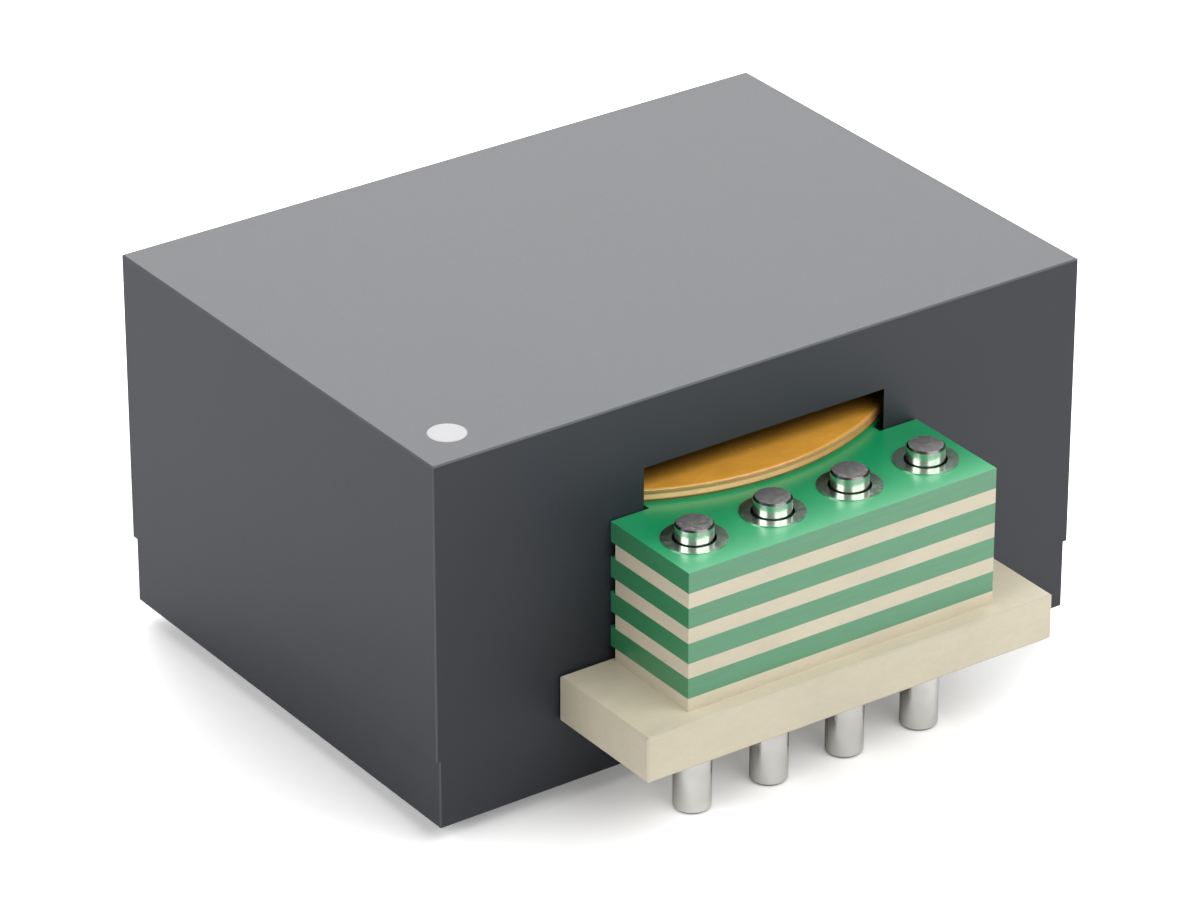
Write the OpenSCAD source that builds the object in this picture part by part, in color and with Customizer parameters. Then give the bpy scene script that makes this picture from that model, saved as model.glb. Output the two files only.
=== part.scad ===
// Planar power transformer for mounting in a cut-out of a circuit board.
//
// Four one-turn winding boards and five stamped one-turn discs are stacked in turn round the
// round post of a ferrite core.  The boards leave the core through its front window and are
// joined by four primary pins; the discs leave through the rear window, where their lugs are
// joined by four secondary pins.  One moulded terminal base passes through both windows and
// carries all eight pins.
//
// Frame: X along the core's long side, -Y towards the primary pins, +Z up.  The origin is the
// centre of the core's underside.  Sizes are in millimetres.

/* [Ferrite core] */
// Length of the core along X
core_len = 25; // [22:0.5:32]
// Width of the core along Y
core_wid = 18; // [15:0.5:22]
// Thickness of the upper core's roof over the windings
roof_t = 2.4; // [1.5:0.1:4]
// Diameter of the round centre post
post_d = 11; // [8:0.5:12]
// Width of the window that the winding space opens in each long face
window_w = 9.35; // [7.5:0.05:11.5]
// How far the lower plate stays back from each end of the core
plate_back_x = 0.125; // [0:0.025:0.3]
// How far the lower plate stays back from each long face of the core
plate_back_y = 0.025; // [0:0.025:0.2]
// Thickness of the lower plate
plate_t = 2.45; // [1.5:0.05:4]
// Size of the broken outer edges of the ferrite
core_edge = 0.05; // [0.02:0.01:0.3]

/* [Windings] */
// Thickness of a winding board
board_t = 0.71; // [0.4:0.01:1.2]
// Thickness of a stamped secondary turn
turn_t = 0.4; // [0.3:0.05:0.8]
// Thickness of the bonding film between a board and a turn
film_t = 0.06; // [0.03:0.01:0.15]
// How far the bonding film stays back from a turn's rims
film_back = 0.1; // [0.05:0.05:0.5]
// Radius on the rims of a coated turn
rim_r = 0.1; // [0.03:0.01:0.14]
// Width of the slit that opens a turn between its lugs
slit_w = 0.8; // [0.5:0.1:1.4]
// Free height between the top turn and the core's roof
head_room = 0.98; // [0.3:0.02:2]

/* [Terminal tabs] */
// How far the tabs reach past their outer pads sideways
tab_side = 0.4; // [0.2:0.05:1.5]
// How far the tabs reach past their pads to the front and the rear
tab_nose = 0.68; // [0.3:0.02:1.5]
// Gap between the core's face and the spacers
spacer_back = 0.3; // [0.1:0.05:0.5]
// Wall of a front spacer between its hollowed back and the pads
spacer_wall = 0.35; // [0.2:0.05:1]

/* [Pins] */
// Distance between neighbouring pins
pin_pitch = 3; // [2.8:0.1:3.6]
// Diameter of a pin
pin_d = 1.25; // [0.8:0.05:1.4]
// Length of a pin's free end below the terminal base
pin_tail = 3.1; // [2.6:0.1:5]
// Height of a primary pin above the top board
pin_head = 0.56; // [0.2:0.02:1.2]
// Height of a secondary pin above the top lug
lug_pin_head = 0.3; // [0.1:0.05:1.2]
// Radius on a pin's lower rim
pin_tip_r = 0.12; // [0.05:0.01:0.3]
// Chamfer on a pin's upper rim
pin_top_edge = 0.06; // [0.02:0.01:0.2]
// How far the collar that locks a pin in the base stands out all round
collar_step = 0.2; // [0.1:0.05:0.4]
// Length of that collar
collar_t = 0.8; // [0.6:0.05:1]
// Distance of the collar from the underside of the base
collar_lift = 0.12; // [0.1:0.01:0.4]
// Width of the tinned pad round a plated barrel
pad_ring = 0.315; // [0.2:0.005:0.5]
// Thickness of a pad on the face of its board
pad_t = 0.035; // [0.02:0.005:0.07]
// Wall of the plated barrel in a board
barrel_t = 0.05; // [0.03:0.01:0.1]

/* [Terminal base] */
// How far the base reaches past the tabs sideways
base_side = 1.96; // [0.5:0.02:3]
// How far the base reaches past the tabs to the front and the rear
base_nose = 0.64; // [0.2:0.02:2]
// Thickness of the base
base_t = 1.6; // [1.3:0.05:2.5]
// Size of the broken edges of the base
base_edge = 0.06; // [0.02:0.01:0.2]

/* [Clearances] */
// Radial gap between the windings and the wall of the winding space
wall_gap = 0.39; // [0.2:0.01:0.6]
// Radial gap between the centre post and what is threaded on it
post_gap = 0.25; // [0.1:0.01:0.4]
// Gap on each side of what passes through a window
window_gap = 0.17; // [0.1:0.01:0.3]
// Gap between the core's face and what stands in front of it
face_gap = 0.05; // [0.02:0.01:0.1]
// Radial gap between a turn's rim and the spacers' hollowed backs
rim_gap = 0.15; // [0.1:0.01:0.3]
// Gap between the base's floor and the lower plate
floor_gap = 0.05; // [0.02:0.01:0.1]
// Radial gap of a pin in a board's plated barrel
barrel_gap = 0.075; // [0.05:0.005:0.1]
// Radial gap of a pin in a lug or a rear spacer
lug_gap = 0.03; // [0.02:0.01:0.1]
// Radial gap round a pad in a spacer or in the base
pad_gap = 0.1; // [0.05:0.01:0.15]
// Radial gap of a moulded-in pin
mould_gap = 0.01; // [0.005:0.005:0.02]

/* [Hidden] */
$fn = 96;
board_count = 4;
turn_count = board_count + 1;
pin_count = 4;
overcut = 1;

face_y = core_wid / 2;
cavity_r = sqrt(pow(face_y, 2) + pow(window_w / 2, 2));
ring_r = cavity_r - wall_gap;
bore_r = post_d / 2 + post_gap;
pin_r = pin_d / 2;
hole_r = pin_r + barrel_gap;
pad_r = hole_r + barrel_t + pad_ring;
pad_clear_r = pad_r + pad_gap;
pin_y = ring_r + rim_gap + spacer_wall + pad_clear_r;
neck_w = window_w - 2 * window_gap;
tab_w = (pin_count - 1) * pin_pitch + 2 * (pad_r + tab_side);
tab_y = face_y + face_gap;
tab_end_y = pin_y + pad_r + tab_nose;
base_w = tab_w + 2 * base_side;
base_end_y = tab_end_y + base_nose;

floor_z = plate_t + base_t;
plinth_t = turn_t + film_t;
layer = board_t + turn_t + 2 * film_t;
roof_z = turn_z(1) + turn_t + head_room;
core_top_z = roof_z + roof_t;
pin_low_z = plate_t - pin_tail;

front = -1;
rear = 1;

ferrite = [0.33, 0.33, 0.34];
mask_green = [0.12, 0.55, 0.34];
moulding = [0.85, 0.81, 0.70];
amber = [0.78, 0.53, 0.14];
film_amber = [0.60, 0.38, 0.08];
tin = [0.78, 0.78, 0.78];

// Boards and turns are counted from the top down.

// Height of the underside of board i
function board_z(i) = floor_z + plinth_t + (board_count - i) * layer;

// Height of the underside of turn i; the last turn lies on the floor of the base
function turn_z(i) = board_z(i) + board_t + film_t;

// Place of pin i in its row
function pin_x(i) = (i - (pin_count + 1) / 2) * pin_pitch;

// Moves its children to each pin of the row on the given side
module at_pins(side) {
    for (i = [1:pin_count])
        translate([pin_x(i), side * pin_y])
            children();
}

// Rectangle from y0 out to y1 on the given side, centred on X
module outward(side, width, y0, y1) {
    translate([-width / 2, side < 0 ? -y1 : y0])
        square([width, y1 - y0]);
}

// Rectangle with its corners cut off by c: all four, or only the two upper ones
module cut_corners(size, c, low = true) {
    k = low ? c : 0;
    polygon([
        [k, 0], [size.x - k, 0], [size.x, k], [size.x, size.y - c],
        [size.x - c, size.y], [c, size.y], [0, size.y - c], [0, k]
    ]);
}

// Block with broken edges, centred in plan and standing on z = 0, whose lower edges may be sharp
module eased_block(size, c, low = true) {
    intersection() {
        translate([-size.x / 2, -size.y / 2])
            linear_extrude(size.z)
                cut_corners([size.x, size.y], c);
        translate([-size.x / 2, size.y / 2])
            rotate([90, 0, 0])
                linear_extrude(size.y)
                    cut_corners([size.x, size.z], c, low);
        translate([-size.x / 2, -size.y / 2])
            rotate([90, 0, 90])
                linear_extrude(size.x)
                    cut_corners([size.y, size.z], c, low);
    }
}

// Flat ring with rounded outer rims
module rimmed_ring(inner_r, outer_r, t, r) {
    rotate_extrude() {
        translate([inner_r, 0])
            square([outer_r - inner_r - r, t]);
        translate([inner_r, r])
            square([outer_r - inner_r, t - 2 * r]);
        for (z = [r, t - r])
            translate([outer_r - r, z])
                circle(r);
    }
}

module upper_core() {
    color(ferrite)
        difference() {
            translate([0, 0, plate_t])
                eased_block([core_len, core_wid, core_top_z - plate_t], core_edge, low = false);
            difference() {
                translate([0, 0, plate_t - overcut])
                    cylinder(r = cavity_r, h = roof_z - plate_t + overcut);
                cylinder(d = post_d, h = roof_z + overcut);
            }
        }
}

module lower_plate() {
    color(ferrite)
        translate([0, 0, plate_t])
            mirror([0, 0, 1])
                eased_block(
                    [core_len - 2 * plate_back_x, core_wid - 2 * plate_back_y, plate_t],
                    core_edge, low = false
                );
}

// Footprint of a spacer: the tab's outline, hollowed round the rim of the windings
module spacer_outline(side) {
    difference() {
        outward(side, tab_w, face_y + spacer_back, tab_end_y);
        circle(ring_r + rim_gap);
    }
}

// Ring that lies in the winding space, with a neck out through each window to the base's blocks
module base_floor() {
    difference() {
        union() {
            circle(cavity_r - wall_gap / 2);
            for (side = [front, rear])
                outward(side, neck_w, bore_r, tab_y + 2 * base_edge);
        }
        circle(bore_r);
    }
}

// Space that a moulded-in pin and its collar take up in the base
module pin_mould() {
    translate([0, 0, plate_t - overcut])
        cylinder(r = pin_r + mould_gap, h = base_t + plinth_t + 2 * overcut);
    translate([0, 0, plate_t + collar_lift - mould_gap])
        cylinder(r = pin_r + collar_step + mould_gap, h = collar_t + 2 * mould_gap);
}

module terminal_base() {
    block_wid = base_end_y - tab_y;
    color(moulding)
        difference() {
            union() {
                for (side = [front, rear])
                    translate([0, side * (tab_y + block_wid / 2), plate_t])
                        eased_block([base_w, block_wid, base_t], base_edge);
                translate([0, 0, plate_t + floor_gap])
                    linear_extrude(base_t - floor_gap)
                        base_floor();
                translate([0, 0, floor_z - base_edge])
                    linear_extrude(plinth_t + base_edge)
                        spacer_outline(front);
            }
            for (side = [front, rear])
                at_pins(side)
                    pin_mould();
            translate([0, 0, floor_z + plinth_t - 2 * pad_t])
                linear_extrude(overcut)
                    at_pins(front)
                        circle(pad_clear_r);
        }
}

// T-shaped board: a ring round the post, a neck through the front window and a tab for the pins
module winding_board(i) {
    color(mask_green)
        translate([0, 0, board_z(i)])
            linear_extrude(board_t)
                difference() {
                    union() {
                        circle(ring_r);
                        outward(front, neck_w, bore_r, tab_y);
                        outward(front, tab_w, tab_y, tab_end_y);
                    }
                    circle(bore_r);
                    at_pins(front)
                        circle(hole_r + barrel_t);
                }
}

// Plated barrels in one board, each with a tinned pad on both faces
module board_plating(i) {
    color(tin)
        at_pins(front)
            translate([0, 0, board_z(i) - pad_t])
                difference() {
                    union() {
                        cylinder(r = hole_r + barrel_t, h = board_t + 2 * pad_t);
                        for (z = [0, board_t + pad_t])
                            translate([0, 0, z])
                                cylinder(r = pad_r, h = pad_t);
                    }
                    translate([0, 0, -overcut])
                        cylinder(r = hole_r, h = board_t + 2 * overcut);
                }
}

// Bonding film whose underside is at height z
module bond_film(z) {
    color(film_amber)
        translate([0, 0, z])
            linear_extrude(film_t)
                difference() {
                    circle(ring_r - film_back);
                    circle(bore_r + film_back);
                }
}

// Stamped and coated one-turn disc, slit at the rear, with a lug on each side of the slit
module secondary_turn(i) {
    color(amber)
        translate([0, 0, turn_z(i)])
            difference() {
                union() {
                    rimmed_ring(bore_r, ring_r, turn_t, rim_r);
                    linear_extrude(turn_t)
                        difference() {
                            union() {
                                outward(rear, neck_w, (bore_r + ring_r) / 2, tab_y);
                                outward(rear, tab_w, tab_y, tab_end_y);
                            }
                            circle(bore_r + film_back);
                        }
                }
                translate([-slit_w / 2, 0, -overcut])
                    cube([slit_w, tab_end_y + overcut, turn_t + 2 * overcut]);
                translate([0, 0, -overcut])
                    linear_extrude(turn_t + 2 * overcut)
                        at_pins(rear)
                            circle(pin_r + lug_gap);
            }
}

// Moulded bar between the tabs of board i and the board below it
module front_spacer(i) {
    color(moulding)
        translate([0, 0, board_z(i + 1) + board_t])
            linear_extrude(layer - board_t)
                difference() {
                    spacer_outline(front);
                    at_pins(front)
                        circle(pad_clear_r);
                }
}

// Moulded bar between the lugs of turn i and the turn below it
module rear_spacer(i) {
    color(moulding)
        translate([0, 0, turn_z(i + 1) + turn_t])
            linear_extrude(layer - turn_t)
                difference() {
                    spacer_outline(rear);
                    at_pins(rear)
                        circle(pin_r + lug_gap);
                }
}

// Half section of a pin from its lower end up to top_z, with its collar
module pin_section(top_z) {
    translate([0, pin_low_z])
        square([pin_r - pin_tip_r, top_z - pin_low_z]);
    translate([pin_r - pin_tip_r, pin_low_z + pin_tip_r])
        intersection() {
            circle(pin_tip_r);
            translate([0, -pin_tip_r])
                square(pin_tip_r);
        }
    polygon([
        [0, pin_low_z + pin_tip_r], [pin_r, pin_low_z + pin_tip_r],
        [pin_r, top_z - pin_top_edge], [pin_r - pin_top_edge, top_z], [0, top_z]
    ]);
    translate([0, plate_t + collar_lift])
        square([pin_r + collar_step, collar_t]);
}

module terminal_pin(i, side, top_z) {
    color(tin)
        translate([pin_x(i), side * pin_y])
            rotate_extrude()
                pin_section(top_z);
}

upper_core();
lower_plate();
terminal_base();
for (i = [1:board_count]) {
    winding_board(i);
    board_plating(i);
    bond_film(board_z(i) + board_t);
    bond_film(board_z(i) - film_t);
    rear_spacer(i);
}
for (i = [1:turn_count])
    secondary_turn(i);
for (i = [1:board_count - 1])
    front_spacer(i);
for (i = [1:pin_count]) {
    terminal_pin(i, front, board_z(1) + board_t + pin_head);
    terminal_pin(i, rear, turn_z(1) + turn_t + lug_pin_head);
}
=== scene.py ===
"""Finishes, printed mark, studio and camera for a planar power transformer.

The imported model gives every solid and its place. What is made here is each surface's finish, the
printed dot beside the first pin, and the table-top studio that the part stands in.
"""

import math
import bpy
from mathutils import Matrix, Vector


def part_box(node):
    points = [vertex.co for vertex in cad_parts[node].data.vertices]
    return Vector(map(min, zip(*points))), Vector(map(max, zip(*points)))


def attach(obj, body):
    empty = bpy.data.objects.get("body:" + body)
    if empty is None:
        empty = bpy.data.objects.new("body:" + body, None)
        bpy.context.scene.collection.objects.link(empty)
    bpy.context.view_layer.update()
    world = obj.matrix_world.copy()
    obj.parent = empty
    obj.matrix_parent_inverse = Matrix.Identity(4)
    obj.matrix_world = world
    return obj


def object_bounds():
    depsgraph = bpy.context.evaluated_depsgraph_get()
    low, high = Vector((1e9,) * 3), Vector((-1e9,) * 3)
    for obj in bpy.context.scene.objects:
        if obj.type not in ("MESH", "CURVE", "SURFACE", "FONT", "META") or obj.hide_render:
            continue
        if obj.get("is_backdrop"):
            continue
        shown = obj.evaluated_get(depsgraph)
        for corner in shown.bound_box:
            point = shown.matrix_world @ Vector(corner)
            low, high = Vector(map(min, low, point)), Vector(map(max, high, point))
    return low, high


bl_info = {
    "name": "Planar Transformer Finishes",
    "version": (1, 0, 0),
    "blender": (4, 5, 0),
    "location": "View3D > Sidebar > Transformer",
    "description": "Dresses a packed planar transformer in ferrite, laminate, coated copper and tin",
    "category": "Object",
}

import bmesh
import bpy
from mathutils import Vector, noise

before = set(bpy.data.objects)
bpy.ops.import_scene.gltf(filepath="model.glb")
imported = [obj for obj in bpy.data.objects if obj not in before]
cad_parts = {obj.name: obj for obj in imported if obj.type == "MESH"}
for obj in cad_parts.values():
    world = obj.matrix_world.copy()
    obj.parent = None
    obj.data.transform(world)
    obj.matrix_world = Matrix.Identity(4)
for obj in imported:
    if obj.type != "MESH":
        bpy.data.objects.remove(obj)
cad_low, cad_high = (tuple(corner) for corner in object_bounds())

MM = 0.001

core_low, core_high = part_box("upper_core")


# ---------------------------------------------------------------------------- materials by nodes


class Finish:
    """One procedural material, laid out node by node in the part's own millimetres."""

    # the values that most of a cloud lies between
    usual = 0.3, 0.7

    def __init__(self, name, **plain):
        self.material = bpy.data.materials.new(name)
        self.material.use_nodes = True
        self.tree = self.material.node_tree
        self.shader = self.tree.nodes["Principled BSDF"]
        for socket, value in plain.items():
            self.feed(self.shader.inputs[socket.replace("_", " ")], value)
        own = self.add("ShaderNodeTexCoord").outputs["Object"]
        self.place = self.vector("SCALE", own, scale=1 / MM)
        self.normal = self.add("ShaderNodeNewGeometry").outputs["True Normal"]

    def feed(self, socket, value):
        if isinstance(value, bpy.types.NodeSocket):
            self.tree.links.new(value, socket)
        elif socket.type == "RGBA" and value is not None:
            socket.default_value = (*value, 1)
        elif value is not None:
            socket.default_value = value

    def add(self, kind, inputs=None, **settings):
        node = self.tree.nodes.new(kind)
        for key, value in settings.items():
            setattr(node, key, value)
        for key, value in (inputs or {}).items():
            self.feed(node.inputs[key], value)
        return node

    def math(self, operation, a, b=None, clamp=False):
        node = self.add("ShaderNodeMath", {0: a, 1: b}, operation=operation, use_clamp=clamp)
        return node.outputs[0]

    def vector(self, operation, a, b=None, scale=None):
        node = self.add("ShaderNodeVectorMath", operation=operation)
        for socket, value in zip((node.inputs[0], node.inputs[1], node.inputs[3]), (a, b, scale)):
            self.feed(socket, value)
        return node.outputs["Vector"]

    def stretched(self, x, y, z):
        """The place in millimetres, drawn out along an axis where its factor is small."""
        return self.vector("MULTIPLY", self.place, (x, y, z))

    def axes(self, vector=None):
        """The three parts of a vector, by default of the place in millimetres."""
        return self.add("ShaderNodeSeparateXYZ", {0: vector or self.place}).outputs

    def cloud(self, scale, detail=2.0, rough=0.5, vector=None):
        """Smooth noise around a half, with so many cells to a millimetre."""
        inputs = {"Scale": scale, "Detail": detail, "Roughness": rough, "Vector": vector or self.place}
        return self.add("ShaderNodeTexNoise", inputs).outputs["Fac"]

    def cells(self, scale):
        """Distance from the nearest of scattered points, with so many points to a millimetre."""
        inputs = {"Vector": self.place, "Scale": scale}
        return self.add("ShaderNodeTexVoronoi", inputs, feature="F1").outputs["Distance"]

    def span(self, value, low, high, to_low=0.0, to_high=1.0):
        """The value stretched from one range on to another, and held inside it."""
        source = {"Value": value, "From Min": low, "From Max": high}
        inputs = {**source, "To Min": to_low, "To Max": to_high}
        return self.add("ShaderNodeMapRange", inputs).outputs["Result"]

    def vary(self, cloud, low, high):
        """A cloud's usual values spread from low to high."""
        return self.span(cloud, *self.usual, low, high)

    def level(self):
        """1 on a level face and 0 on a wall."""
        return self.math("ABSOLUTE", self.axes(self.normal)[2])

    def slanted(self, wall, slope):
        """1 on an eased edge, and 0 on walls and level faces, from how level the surface lies."""
        level = self.level()
        return self.math("MULTIPLY", self.span(level, wall, slope), self.span(level, 0.95, 0.8))

    def blend(self, factor, a, b):
        """Two colours mixed by a factor."""
        node = self.add("ShaderNodeMix", data_type="RGBA")
        self.feed(node.inputs[0], factor)
        self.feed(node.inputs[6], a)
        self.feed(node.inputs[7], b)
        return node.outputs[2]

    def shade(self, colour, factor):
        """A colour made lighter or darker by a factor around 1."""
        return self.vector("SCALE", colour, scale=factor)

    def relief(self, height, depth, normal=None):
        """A bump of that height field, so many millimetres deep."""
        inputs = {"Height": height, "Distance": depth * MM, "Strength": 1.0, "Normal": normal}
        return self.add("ShaderNodeBump", inputs).outputs["Normal"]

    def finish(self, colour, roughness, normal):
        """The whole material, with its colour, roughness and bump connected."""
        self.feed(self.shader.inputs["Base Color"], colour)
        self.feed(self.shader.inputs["Roughness"], roughness)
        self.feed(self.shader.inputs["Normal"], normal)
        return self.material


def dress(material, *nodes):
    """Gives the named solids that material in place of their plain one."""
    for name in nodes:
        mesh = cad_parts[name].data
        mesh.materials.clear()
        mesh.materials.append(material)


def numbered(stem):
    """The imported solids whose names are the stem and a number."""
    return sorted(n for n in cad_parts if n.startswith(stem) and n[len(stem):].isdigit())


# ---------------------------------------------------------------------------- settings


def colour_property(name, description, default):
    return bpy.props.FloatVectorProperty(
        name=name, description=description, default=default, size=3, subtype="COLOR", min=0, max=1
    )


def length_property(name, description, millimetres):
    return bpy.props.FloatProperty(
        name=name, description=description, default=millimetres * MM, unit="LENGTH", min=0
    )


def share_property(name, description, default):
    return bpy.props.FloatProperty(
        name=name, description=description, default=default, subtype="FACTOR", min=0, max=1
    )


def radiance_property(name, description, default):
    return bpy.props.FloatProperty(name=name, description=description, default=default, min=0)


def angle_property(name, description, degrees):
    return bpy.props.FloatProperty(
        name=name, description=description, default=math.radians(degrees), subtype="ANGLE"
    )


class FerriteSettings(bpy.types.PropertyGroup):
    body: colour_property("Body", "Colour of the sintered ferrite", (0.0114, 0.0135, 0.0199))
    # lighter than the body: partly the broken edges' own colour, partly a painted highlight along the
    # edges
    rim: colour_property("Rim", "Colour of the broken edges", (0.060, 0.061, 0.065))
    roughness: share_property("Roughness", "How matt the ground ferrite is", 0.55)


class MouldingSettings(bpy.types.PropertyGroup):
    body: colour_property("Body", "Colour of the moulded plastic", (0.5897, 0.5321, 0.4046))
    roughness: share_property("Roughness", "How matt the moulded skin is", 0.5)


class BoardSettings(bpy.types.PropertyGroup):
    mask: colour_property("Mask", "Colour of the solder mask", (0.0068, 0.3035, 0.1110))
    edge: colour_property("Edge", "Colour of the routed laminate", (0.0248, 0.2030, 0.0782))
    roughness: share_property("Roughness", "How matt the solder mask is", 0.28)


class TurnSettings(bpy.types.PropertyGroup):
    coat: colour_property("Coat", "Colour of the coated flat faces", (0.7522, 0.3634, 0.0511))
    # the rim's lower half: lighter and paler than the coat, partly its own colour and partly a painted
    # sheen that fades towards the right end
    wall: colour_property("Wall", "Colour of the rim's lower half", (0.9200, 0.5725, 0.2655))
    lower_end: colour_property(
        "Wall end", "Colour of the rim's lower half at its right end", (0.60, 0.26, 0.06)
    )
    # the rim's upper half: painted reflections, green from the board at its left end and a lighter
    # painted sheen further right
    upper: colour_property("Upper wall", "Colour of the rim's upper half", (0.4871, 0.2792, 0.1030))
    upper_start_green_reflection: colour_property(
        "Upper wall start", "Colour of the rim's upper half at its left end", (0.26, 0.22, 0.05)
    )
    film: colour_property("Film", "Colour of the bonding film", (0.35, 0.16, 0.03))
    roughness: share_property("Roughness", "How matt the coating is", 0.25)


class TinSettings(bpy.types.PropertyGroup):
    pin: colour_property("Pin", "Colour of the tinned pins", (0.6661, 0.6576, 0.6331))
    # tin tinted green: a painted reflection of the green board
    pad: colour_property("Pad", "Colour of the tinned pads", (0.5218, 0.6803, 0.5331))
    roughness: share_property("Roughness", "How matt the tin is", 0.2)


class MarkSettings(bpy.types.PropertyGroup):
    ink: colour_property("Ink", "Colour of the printed dot", (0.3129, 0.3092, 0.3189))
    radius: length_property("Radius", "Radius of the printed dot", 0.617)
    inset: length_property("Inset", "Distance of the dot's middle from both edges", 1.62)
    thickness: length_property("Thickness", "Thickness of the printed ink", 0.012)


class StudioSettings(bpy.types.PropertyGroup):
    sky: share_property("Sky", "Brightness of the room round the lamps", 0.150)
    front: radiance_property("Front lamp", "Radiance of the front lamp", 4.638)
    side: radiance_property("Side lamp", "Radiance of the left lamp", 4.179)
    back: radiance_property("Back lamp", "Radiance of the high rear lamp", 6.858)
    mirrored: share_property("Mirrored room", "Brightness of the room as glossy surfaces see it", 0.4)
    floor: share_property("Floor", "How much light the floor sends back", 0.6)
    lens: bpy.props.FloatProperty(
        name="Lens", description="Focal length of the camera", default=181.97, unit="CAMERA"
    )
    azimuth: angle_property("Azimuth", "Turn of the camera from the front", -35.195)
    elevation: angle_property("Elevation", "Height angle of the camera", 27.647)
    distance: length_property("Distance", "From the camera to the point it looks at", 200.0)
    aim: bpy.props.FloatVectorProperty(
        name="Aim",
        description="Point that the camera looks at",
        default=(0.82 * MM, 1.15 * MM, 4.98 * MM),
        subtype="TRANSLATION",
    )


SETTINGS = {
    "transformer_ferrite": FerriteSettings,
    "transformer_moulding": MouldingSettings,
    "transformer_board": BoardSettings,
    "transformer_turn": TurnSettings,
    "transformer_tin": TinSettings,
    "transformer_mark": MarkSettings,
    "transformer_studio": StudioSettings,
}


# ---------------------------------------------------------------------------- operators


class TRANSFORMER_OT_core(bpy.types.Operator):
    """Dress the two halves of the core in ground ferrite"""

    bl_idname = "transformer.core"
    bl_label = "Ferrite Core"

    def execute(self, context):
        settings = context.scene.transformer_ferrite
        ferrite = Finish("ground_ferrite", IOR=1.5)
        grain = ferrite.cloud(11.0, 4.0, 0.65)
        tone = ferrite.cloud(0.16, 2.0)
        pits = ferrite.span(ferrite.cells(2.6), 0.03, 0.11)
        body = ferrite.shade(settings.body, ferrite.vary(grain, 0.92, 1.08))
        body = ferrite.shade(body, ferrite.span(tone, 0.35, 0.65, 0.96, 1.04))
        body = ferrite.shade(body, ferrite.span(pits, 0, 1, 0.75, 1.0))
        nx, ny, nz = ferrite.axes(ferrite.vector("ABSOLUTE", ferrite.normal))
        flat = ferrite.math("MAXIMUM", nx, ferrite.math("MAXIMUM", ny, nz))
        # painted highlight: the broken edges take the lighter rim colour, partly their own colour and
        # partly a painted highlight
        rim = ferrite.span(flat, 0.95, 0.85)
        body = ferrite.blend(rim, body, settings.rim)
        rough = ferrite.vary(grain, settings.roughness - 0.02, settings.roughness + 0.03)
        skin = ferrite.relief(grain, 0.002)
        skin = ferrite.relief(pits, 0.004, skin)
        dress(ferrite.finish(body, rough, skin), "upper_core", "lower_plate")
        return {"FINISHED"}


class TRANSFORMER_OT_mark(bpy.types.Operator):
    """Print the dot that marks the first pin's corner of the core"""

    bl_idname = "transformer.mark"
    bl_label = "First Pin Dot"

    steps = 96
    ragged_by = 0.012
    ragged_waves = 9
    # each ring's share of the radius, and of the ink's thickness
    soft_rim = (1.0, 0.0), (0.985, 0.6), (0.95, 0.92), (0.85, 1.0), (0.45, 1.0)

    def execute(self, context):
        settings = context.scene.transformer_mark
        centre = Vector((core_low.x + settings.inset, core_low.y + settings.inset, core_high.z))
        form = bmesh.new()
        rings = []
        for share, height in self.soft_rim:
            ring = []
            for k in range(self.steps):
                turn = 2 * math.pi * k / self.steps
                way = Vector((math.cos(turn), math.sin(turn), 0))
                ragged = 1 + self.ragged_by * noise.noise(way * self.ragged_waves) * share
                out = way * settings.radius * share * ragged
                up = Vector((0, 0, settings.thickness * height))
                ring.append(form.verts.new(centre + out + up))
            rings.append(ring)
        for outer, inner in zip(rings, rings[1:]):
            for k in range(self.steps):
                j = (k + 1) % self.steps
                form.faces.new((outer[k], outer[j], inner[j], inner[k]))
        form.faces.new(rings[-1])
        form.faces.new(reversed(rings[0]))
        mesh = bpy.data.meshes.new("first_pin_dot")
        form.to_mesh(mesh)
        form.free()
        dot = bpy.data.objects.new("first_pin_dot", mesh)
        context.scene.collection.objects.link(dot)
        ink = Finish("marking_ink", IOR=1.45)
        thin = ink.cloud(4.0, 3.0, 0.6)
        colour = ink.shade(settings.ink, ink.vary(thin, 0.93, 1.05))
        rough = ink.vary(thin, 0.5, 0.65)
        mesh.materials.append(ink.finish(colour, rough, ink.relief(thin, 0.002)))
        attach(dot, "root")
        return {"FINISHED"}


class TRANSFORMER_OT_mouldings(bpy.types.Operator):
    """Dress the terminal base and the spacers in moulded plastic"""

    bl_idname = "transformer.mouldings"
    bl_label = "Base and Spacers"

    def execute(self, context):
        settings = context.scene.transformer_moulding
        plastic = Finish("moulded_plastic", IOR=1.5)
        flow = plastic.cloud(0.5, 3.0, 0.6, plastic.stretched(0.5, 1.2, 1.2))
        fibre = plastic.cloud(9.0, 3.0, 0.6, plastic.stretched(0.35, 1.0, 1.0))
        skin = plastic.cloud(16.0, 2.0)
        colour = plastic.shade(settings.body, plastic.vary(flow, 0.94, 1.05))
        colour = plastic.shade(colour, plastic.vary(fibre, 0.97, 1.03))
        colour = plastic.shade(colour, plastic.span(plastic.slanted(0.3, 0.6), 0, 1, 1.0, 0.8))
        rough = plastic.vary(fibre, settings.roughness - 0.06, settings.roughness + 0.06)
        bump = plastic.relief(skin, 0.004)
        spacers = numbered("front_spacer_") + numbered("rear_spacer_")
        dress(plastic.finish(colour, rough, bump), "terminal_base", *spacers)
        return {"FINISHED"}


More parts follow.
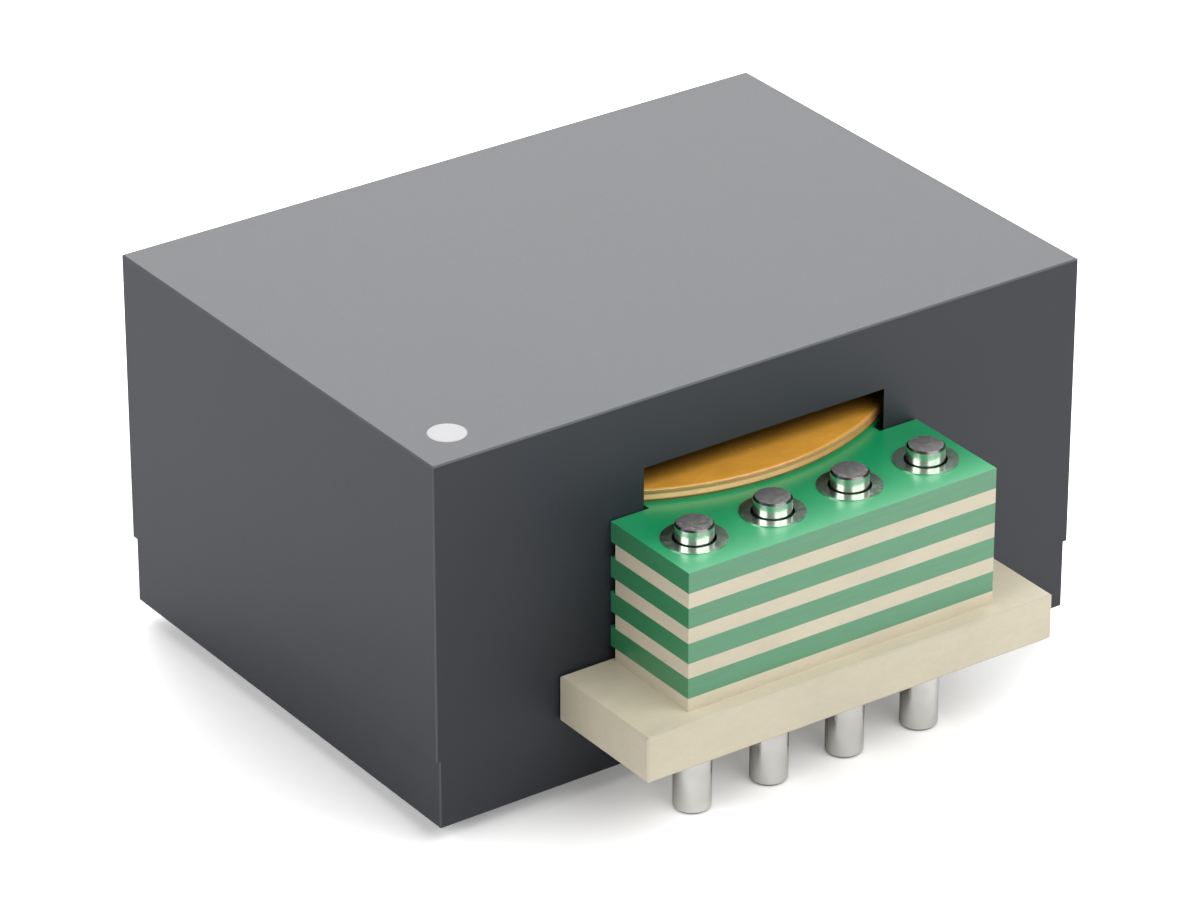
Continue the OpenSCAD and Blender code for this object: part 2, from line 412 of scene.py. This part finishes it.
class TRANSFORMER_OT_boards(bpy.types.Operator):
    """Dress the winding boards in solder mask over laminate"""

    bl_idname = "transformer.boards"
    bl_label = "Winding Boards"

    def execute(self, context):
        settings = context.scene.transformer_board
        board = Finish("solder_mask", IOR=1.9)
        on_face = board.span(board.level(), 0.4, 0.6)
        mask = board.shade(settings.mask, board.vary(board.cloud(0.7, 3.0), 0.94, 1.06))
        cloth = board.cloud(1.2, 3.0, 0.6, board.stretched(0.6, 0.6, 9.0))
        edge = board.shade(settings.edge, board.vary(cloth, 0.93, 1.07))
        colour = board.blend(on_face, edge, mask)
        ripple = board.cloud(1.5, 2.0)
        rough = board.span(on_face, 0, 1, settings.roughness + 0.1, settings.roughness)
        bump = board.relief(board.blend(on_face, cloth, ripple), 0.003)
        dress(board.finish(colour, rough, bump), *numbered("winding_board_"))
        return {"FINISHED"}


class TRANSFORMER_OT_turns(bpy.types.Operator):
    """Dress the flat turns in amber coating and the films in bonding resin"""

    bl_idname = "transformer.turns"
    bl_label = "Flat Turns and Films"

    # millimetres behind the core's front face over which painted shade darkens the flat faces
    shadow = 0.4, 1.4
    # millimetres along X over which each half of the rim changes colour: painted reflection in the
    # upper half, painted sheen in the lower half
    upper_reflection_change = -4.5, -1.5
    lower_sheen_change = -2.0, 4.0
    # shares of the rim's height between which its halves meet
    halves_meet = 0.52, 0.62

    def execute(self, context):
        settings = context.scene.transformer_turn
        coat = Finish("amber_coating", IOR=1.6)
        low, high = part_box("secondary_turn_1")
        layer = low.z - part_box("secondary_turn_2")[0].z
        across, along, up = coat.axes()
        height = coat.math("FLOORED_MODULO", coat.math("SUBTRACT", up, low.z / MM), layer / MM)
        height = coat.math("DIVIDE", height, (high.z - low.z) / MM)
        on_face = coat.span(coat.level(), 0.5, 0.9)
        pooled = coat.cloud(0.8, 3.0, 0.55)
        drawn = coat.cloud(5.0, 2.0, 0.5, coat.stretched(0.3, 1.0, 1.0))
        face = coat.shade(settings.coat, coat.vary(pooled, 0.92, 1.08))
        face = coat.shade(face, coat.vary(drawn, 0.97, 1.03))
        lit, dark = (core_low.y / MM + behind for behind in self.shadow)
        # painted shade: the flat faces darken to 0.4 of their colour behind the core's front face, as
        # if in the core's shadow
        face = coat.shade(face, coat.span(along, lit, dark, 1.0, 0.4))
        # painted reflection and sheen on the rim: its colours change along X and between its two
        # halves
        run = coat.math("ADD", across, coat.vary(coat.cloud(1.5, 2.0), -0.4, 0.4))
        upper = coat.blend(coat.span(run, *self.upper_reflection_change), settings.upper_start_green_reflection, settings.upper)
        lower = coat.blend(coat.span(run, *self.lower_sheen_change), settings.wall, settings.lower_end)
        wall = coat.blend(coat.span(height, *self.halves_meet), lower, upper)
        colour = coat.blend(on_face, wall, face)
        rough = coat.vary(pooled, settings.roughness - 0.04, settings.roughness + 0.05)
        dress(coat.finish(colour, rough, coat.relief(drawn, 0.003)), *numbered("secondary_turn_"))
        film = Finish("bonding_film", IOR=1.5)
        thin = film.cloud(2.0, 3.0)
        colour = film.shade(settings.film, film.vary(thin, 0.85, 1.15))
        rough = film.vary(thin, 0.2, 0.35)
        films = numbered("upper_film_") + numbered("lower_film_")
        dress(film.finish(colour, rough, film.relief(thin, 0.01)), *films)
        return {"FINISHED"}


class TRANSFORMER_OT_metal(bpy.types.Operator):
    """Dress the pins and the plated pads in tin"""

    bl_idname = "transformer.metal"
    bl_label = "Pins and Pads"

    def execute(self, context):
        settings = context.scene.transformer_tin
        for name, body, nodes in (
            ("tinned_pin", settings.pin, numbered("primary_pin_") + numbered("secondary_pin_")),
            # the pads' green tint is a painted reflection of the board
            ("tinned_pad", settings.pad, numbered("board_plating_")),
        ):
            tin = Finish(name, Metallic=1.0, IOR=1.5)
            drawn = tin.cloud(7.0, 3.0, 0.6, tin.stretched(1.0, 1.0, 0.12))
            stain = tin.cloud(1.4, 3.0)
            colour = tin.shade(body, tin.vary(stain, 0.93, 1.05))
            # painted shade: the chamfered rims darken to 0.14 of the tin colour, toning down their
            # highlight
            colour = tin.shade(colour, tin.span(tin.slanted(0.2, 0.5), 0, 1, 1.0, 0.14))
            rough = tin.vary(drawn, settings.roughness - 0.03, settings.roughness + 0.06)
            dress(tin.finish(colour, rough, tin.relief(drawn, 0.002)), *nodes)
        return {"FINISHED"}


class TRANSFORMER_OT_stage(bpy.types.Operator):
    """Set up the floor, the lamps, the room and the camera"""

    bl_idname = "transformer.stage"
    bl_label = "Studio"

    # each lamp's degrees round from +X and up, metres away, sides in metres and setting
    lamps = (
        ("front_lamp", 285, 46, 0.30, (0.35, 0.19), "front"),
        ("side_lamp", 174, 32, 0.30, (0.23, 0.15), "side"),
        ("back_lamp", 56, 40, 0.34, (0.36, 0.28), "back"),
    )
    floor_reach = 1.5
    floor_white = 0.92
    floor_glow = 0.2

    def execute(self, context):
        settings = context.scene.transformer_studio
        self.floor(context, settings)
        self.room(context, settings)
        for name, turn, height, away, size, setting in self.lamps:
            self.lamp(context, name, turn, height, away, size, getattr(settings, setting))
        self.camera(context, settings)
        context.scene.view_settings.view_transform = "Standard"
        return {"FINISHED"}

    def seen(self, finish):
        """Two values that are 1 where the floor is looked at: straight, and in a mirror as well."""
        path = finish.add("ShaderNodeLightPath").outputs
        straight = finish.math("ADD", path["Is Camera Ray"], path["Is Transmission Ray"], clamp=True)
        return straight, finish.math("ADD", straight, path["Is Glossy Ray"], clamp=True)

    def floor(self, context, settings):
        mesh = bpy.data.meshes.new("floor")
        reach = self.floor_reach
        around = (-reach, -reach), (reach, -reach), (reach, reach), (-reach, reach)
        mesh.from_pydata([(x, y, cad_low[2]) for x, y in around], [], [(0, 1, 2, 3)])
        floor = bpy.data.objects.new("floor", mesh)
        context.scene.collection.objects.link(floor)
        paper = Finish("white_floor", Roughness=0.9)
        straight, seen = self.seen(paper)
        paper.shader.inputs["Specular IOR Level"].default_value = 0.0
        white = paper.span(seen, 0, 1, settings.floor, self.floor_white)
        paper.feed(paper.shader.inputs["Base Color"], paper.blend(white, (0, 0, 0), (1, 1, 1)))
        paper.shader.inputs["Emission Color"].default_value = (1, 1, 1, 1)
        glow = paper.span(straight, 0, 1, 0.0, self.floor_glow)
        paper.feed(paper.shader.inputs["Emission Strength"], glow)
        mesh.materials.append(paper.material)
        floor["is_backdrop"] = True

    def room(self, context, settings):
        world = bpy.data.worlds.new("room")
        world.use_nodes = True
        context.scene.world = world
        tree = world.node_tree
        light = tree.nodes["Background"]
        light.inputs["Color"].default_value = (1, 1, 1, 1)
        path = tree.nodes.new("ShaderNodeLightPath")
        strength = settings.sky
        for ray, level in (("Is Glossy Ray", settings.mirrored), ("Is Camera Ray", 1.0)):
            pick = tree.nodes.new("ShaderNodeMix")
            tree.links.new(path.outputs[ray], pick.inputs[0])
            if isinstance(strength, bpy.types.NodeSocket):
                tree.links.new(strength, pick.inputs[2])
            else:
                pick.inputs[2].default_value = strength
            pick.inputs[3].default_value = level
            strength = pick.outputs[0]
        tree.links.new(strength, light.inputs["Strength"])

    def lamp(self, context, name, turn, height, away, size, radiance):
        """A soft rectangular lamp of that radiance, aimed at the middle of the core."""
        turn, height = math.radians(turn), math.radians(height)
        level = math.cos(height)
        way = Vector((math.cos(turn) * level, math.sin(turn) * level, math.sin(height)))
        data = bpy.data.lights.new(name, "AREA")
        data.shape = "RECTANGLE"
        data.size, data.size_y = size
        data.energy = radiance * math.pi * size[0] * size[1]
        lamp = bpy.data.objects.new(name, data)
        context.scene.collection.objects.link(lamp)
        lamp.location = Vector((0, 0, core_high.z / 2)) + way * away
        lamp.rotation_mode = "QUATERNION"
        lamp.rotation_quaternion = way.to_track_quat("Z", "Y")

    def camera(self, context, settings):
        turn, height = settings.azimuth, settings.elevation
        level = math.cos(height)
        back = Vector((math.sin(turn) * level, -math.cos(turn) * level, math.sin(height)))
        data = bpy.data.cameras.new("camera")
        data.sensor_width = 36
        data.lens = settings.lens
        data.clip_start = 0.01
        camera = bpy.data.objects.new("camera", data)
        context.scene.collection.objects.link(camera)
        camera.location = Vector(settings.aim) + back * settings.distance
        camera.rotation_mode = "QUATERNION"
        camera.rotation_quaternion = (-back).to_track_quat("-Z", "Y")
        context.scene.camera = camera


OPERATORS = (
    TRANSFORMER_OT_core,
    TRANSFORMER_OT_mark,
    TRANSFORMER_OT_mouldings,
    TRANSFORMER_OT_boards,
    TRANSFORMER_OT_turns,
    TRANSFORMER_OT_metal,
    TRANSFORMER_OT_stage,
)


class TRANSFORMER_PT_panel(bpy.types.Panel):
    """Lists the transformer's pieces with their settings"""

    bl_label = "Transformer"
    bl_space_type = "VIEW_3D"
    bl_region_type = "UI"
    bl_category = "Transformer"

    def draw(self, context):
        for operator in OPERATORS:
            self.layout.operator(operator.bl_idname)
        for name in SETTINGS:
            group = getattr(context.scene, name)
            box = self.layout.box()
            for prop in group.bl_rna.properties:
                if not prop.is_readonly and prop.identifier != "name":
                    box.prop(group, prop.identifier)


def register():
    for name, group in SETTINGS.items():
        bpy.utils.register_class(group)
        setattr(bpy.types.Scene, name, bpy.props.PointerProperty(type=group))
    for cls in (*OPERATORS, TRANSFORMER_PT_panel):
        bpy.utils.register_class(cls)


def unregister():
    for cls in reversed((*OPERATORS, TRANSFORMER_PT_panel)):
        bpy.utils.unregister_class(cls)
    for name, group in reversed(SETTINGS.items()):
        delattr(bpy.types.Scene, name)
        bpy.utils.unregister_class(group)


def main():
    register()
    for operator in OPERATORS:
        module, name = operator.bl_idname.split(".")
        getattr(getattr(bpy.ops, module), name)()


if __name__ == "__main__":
    main()
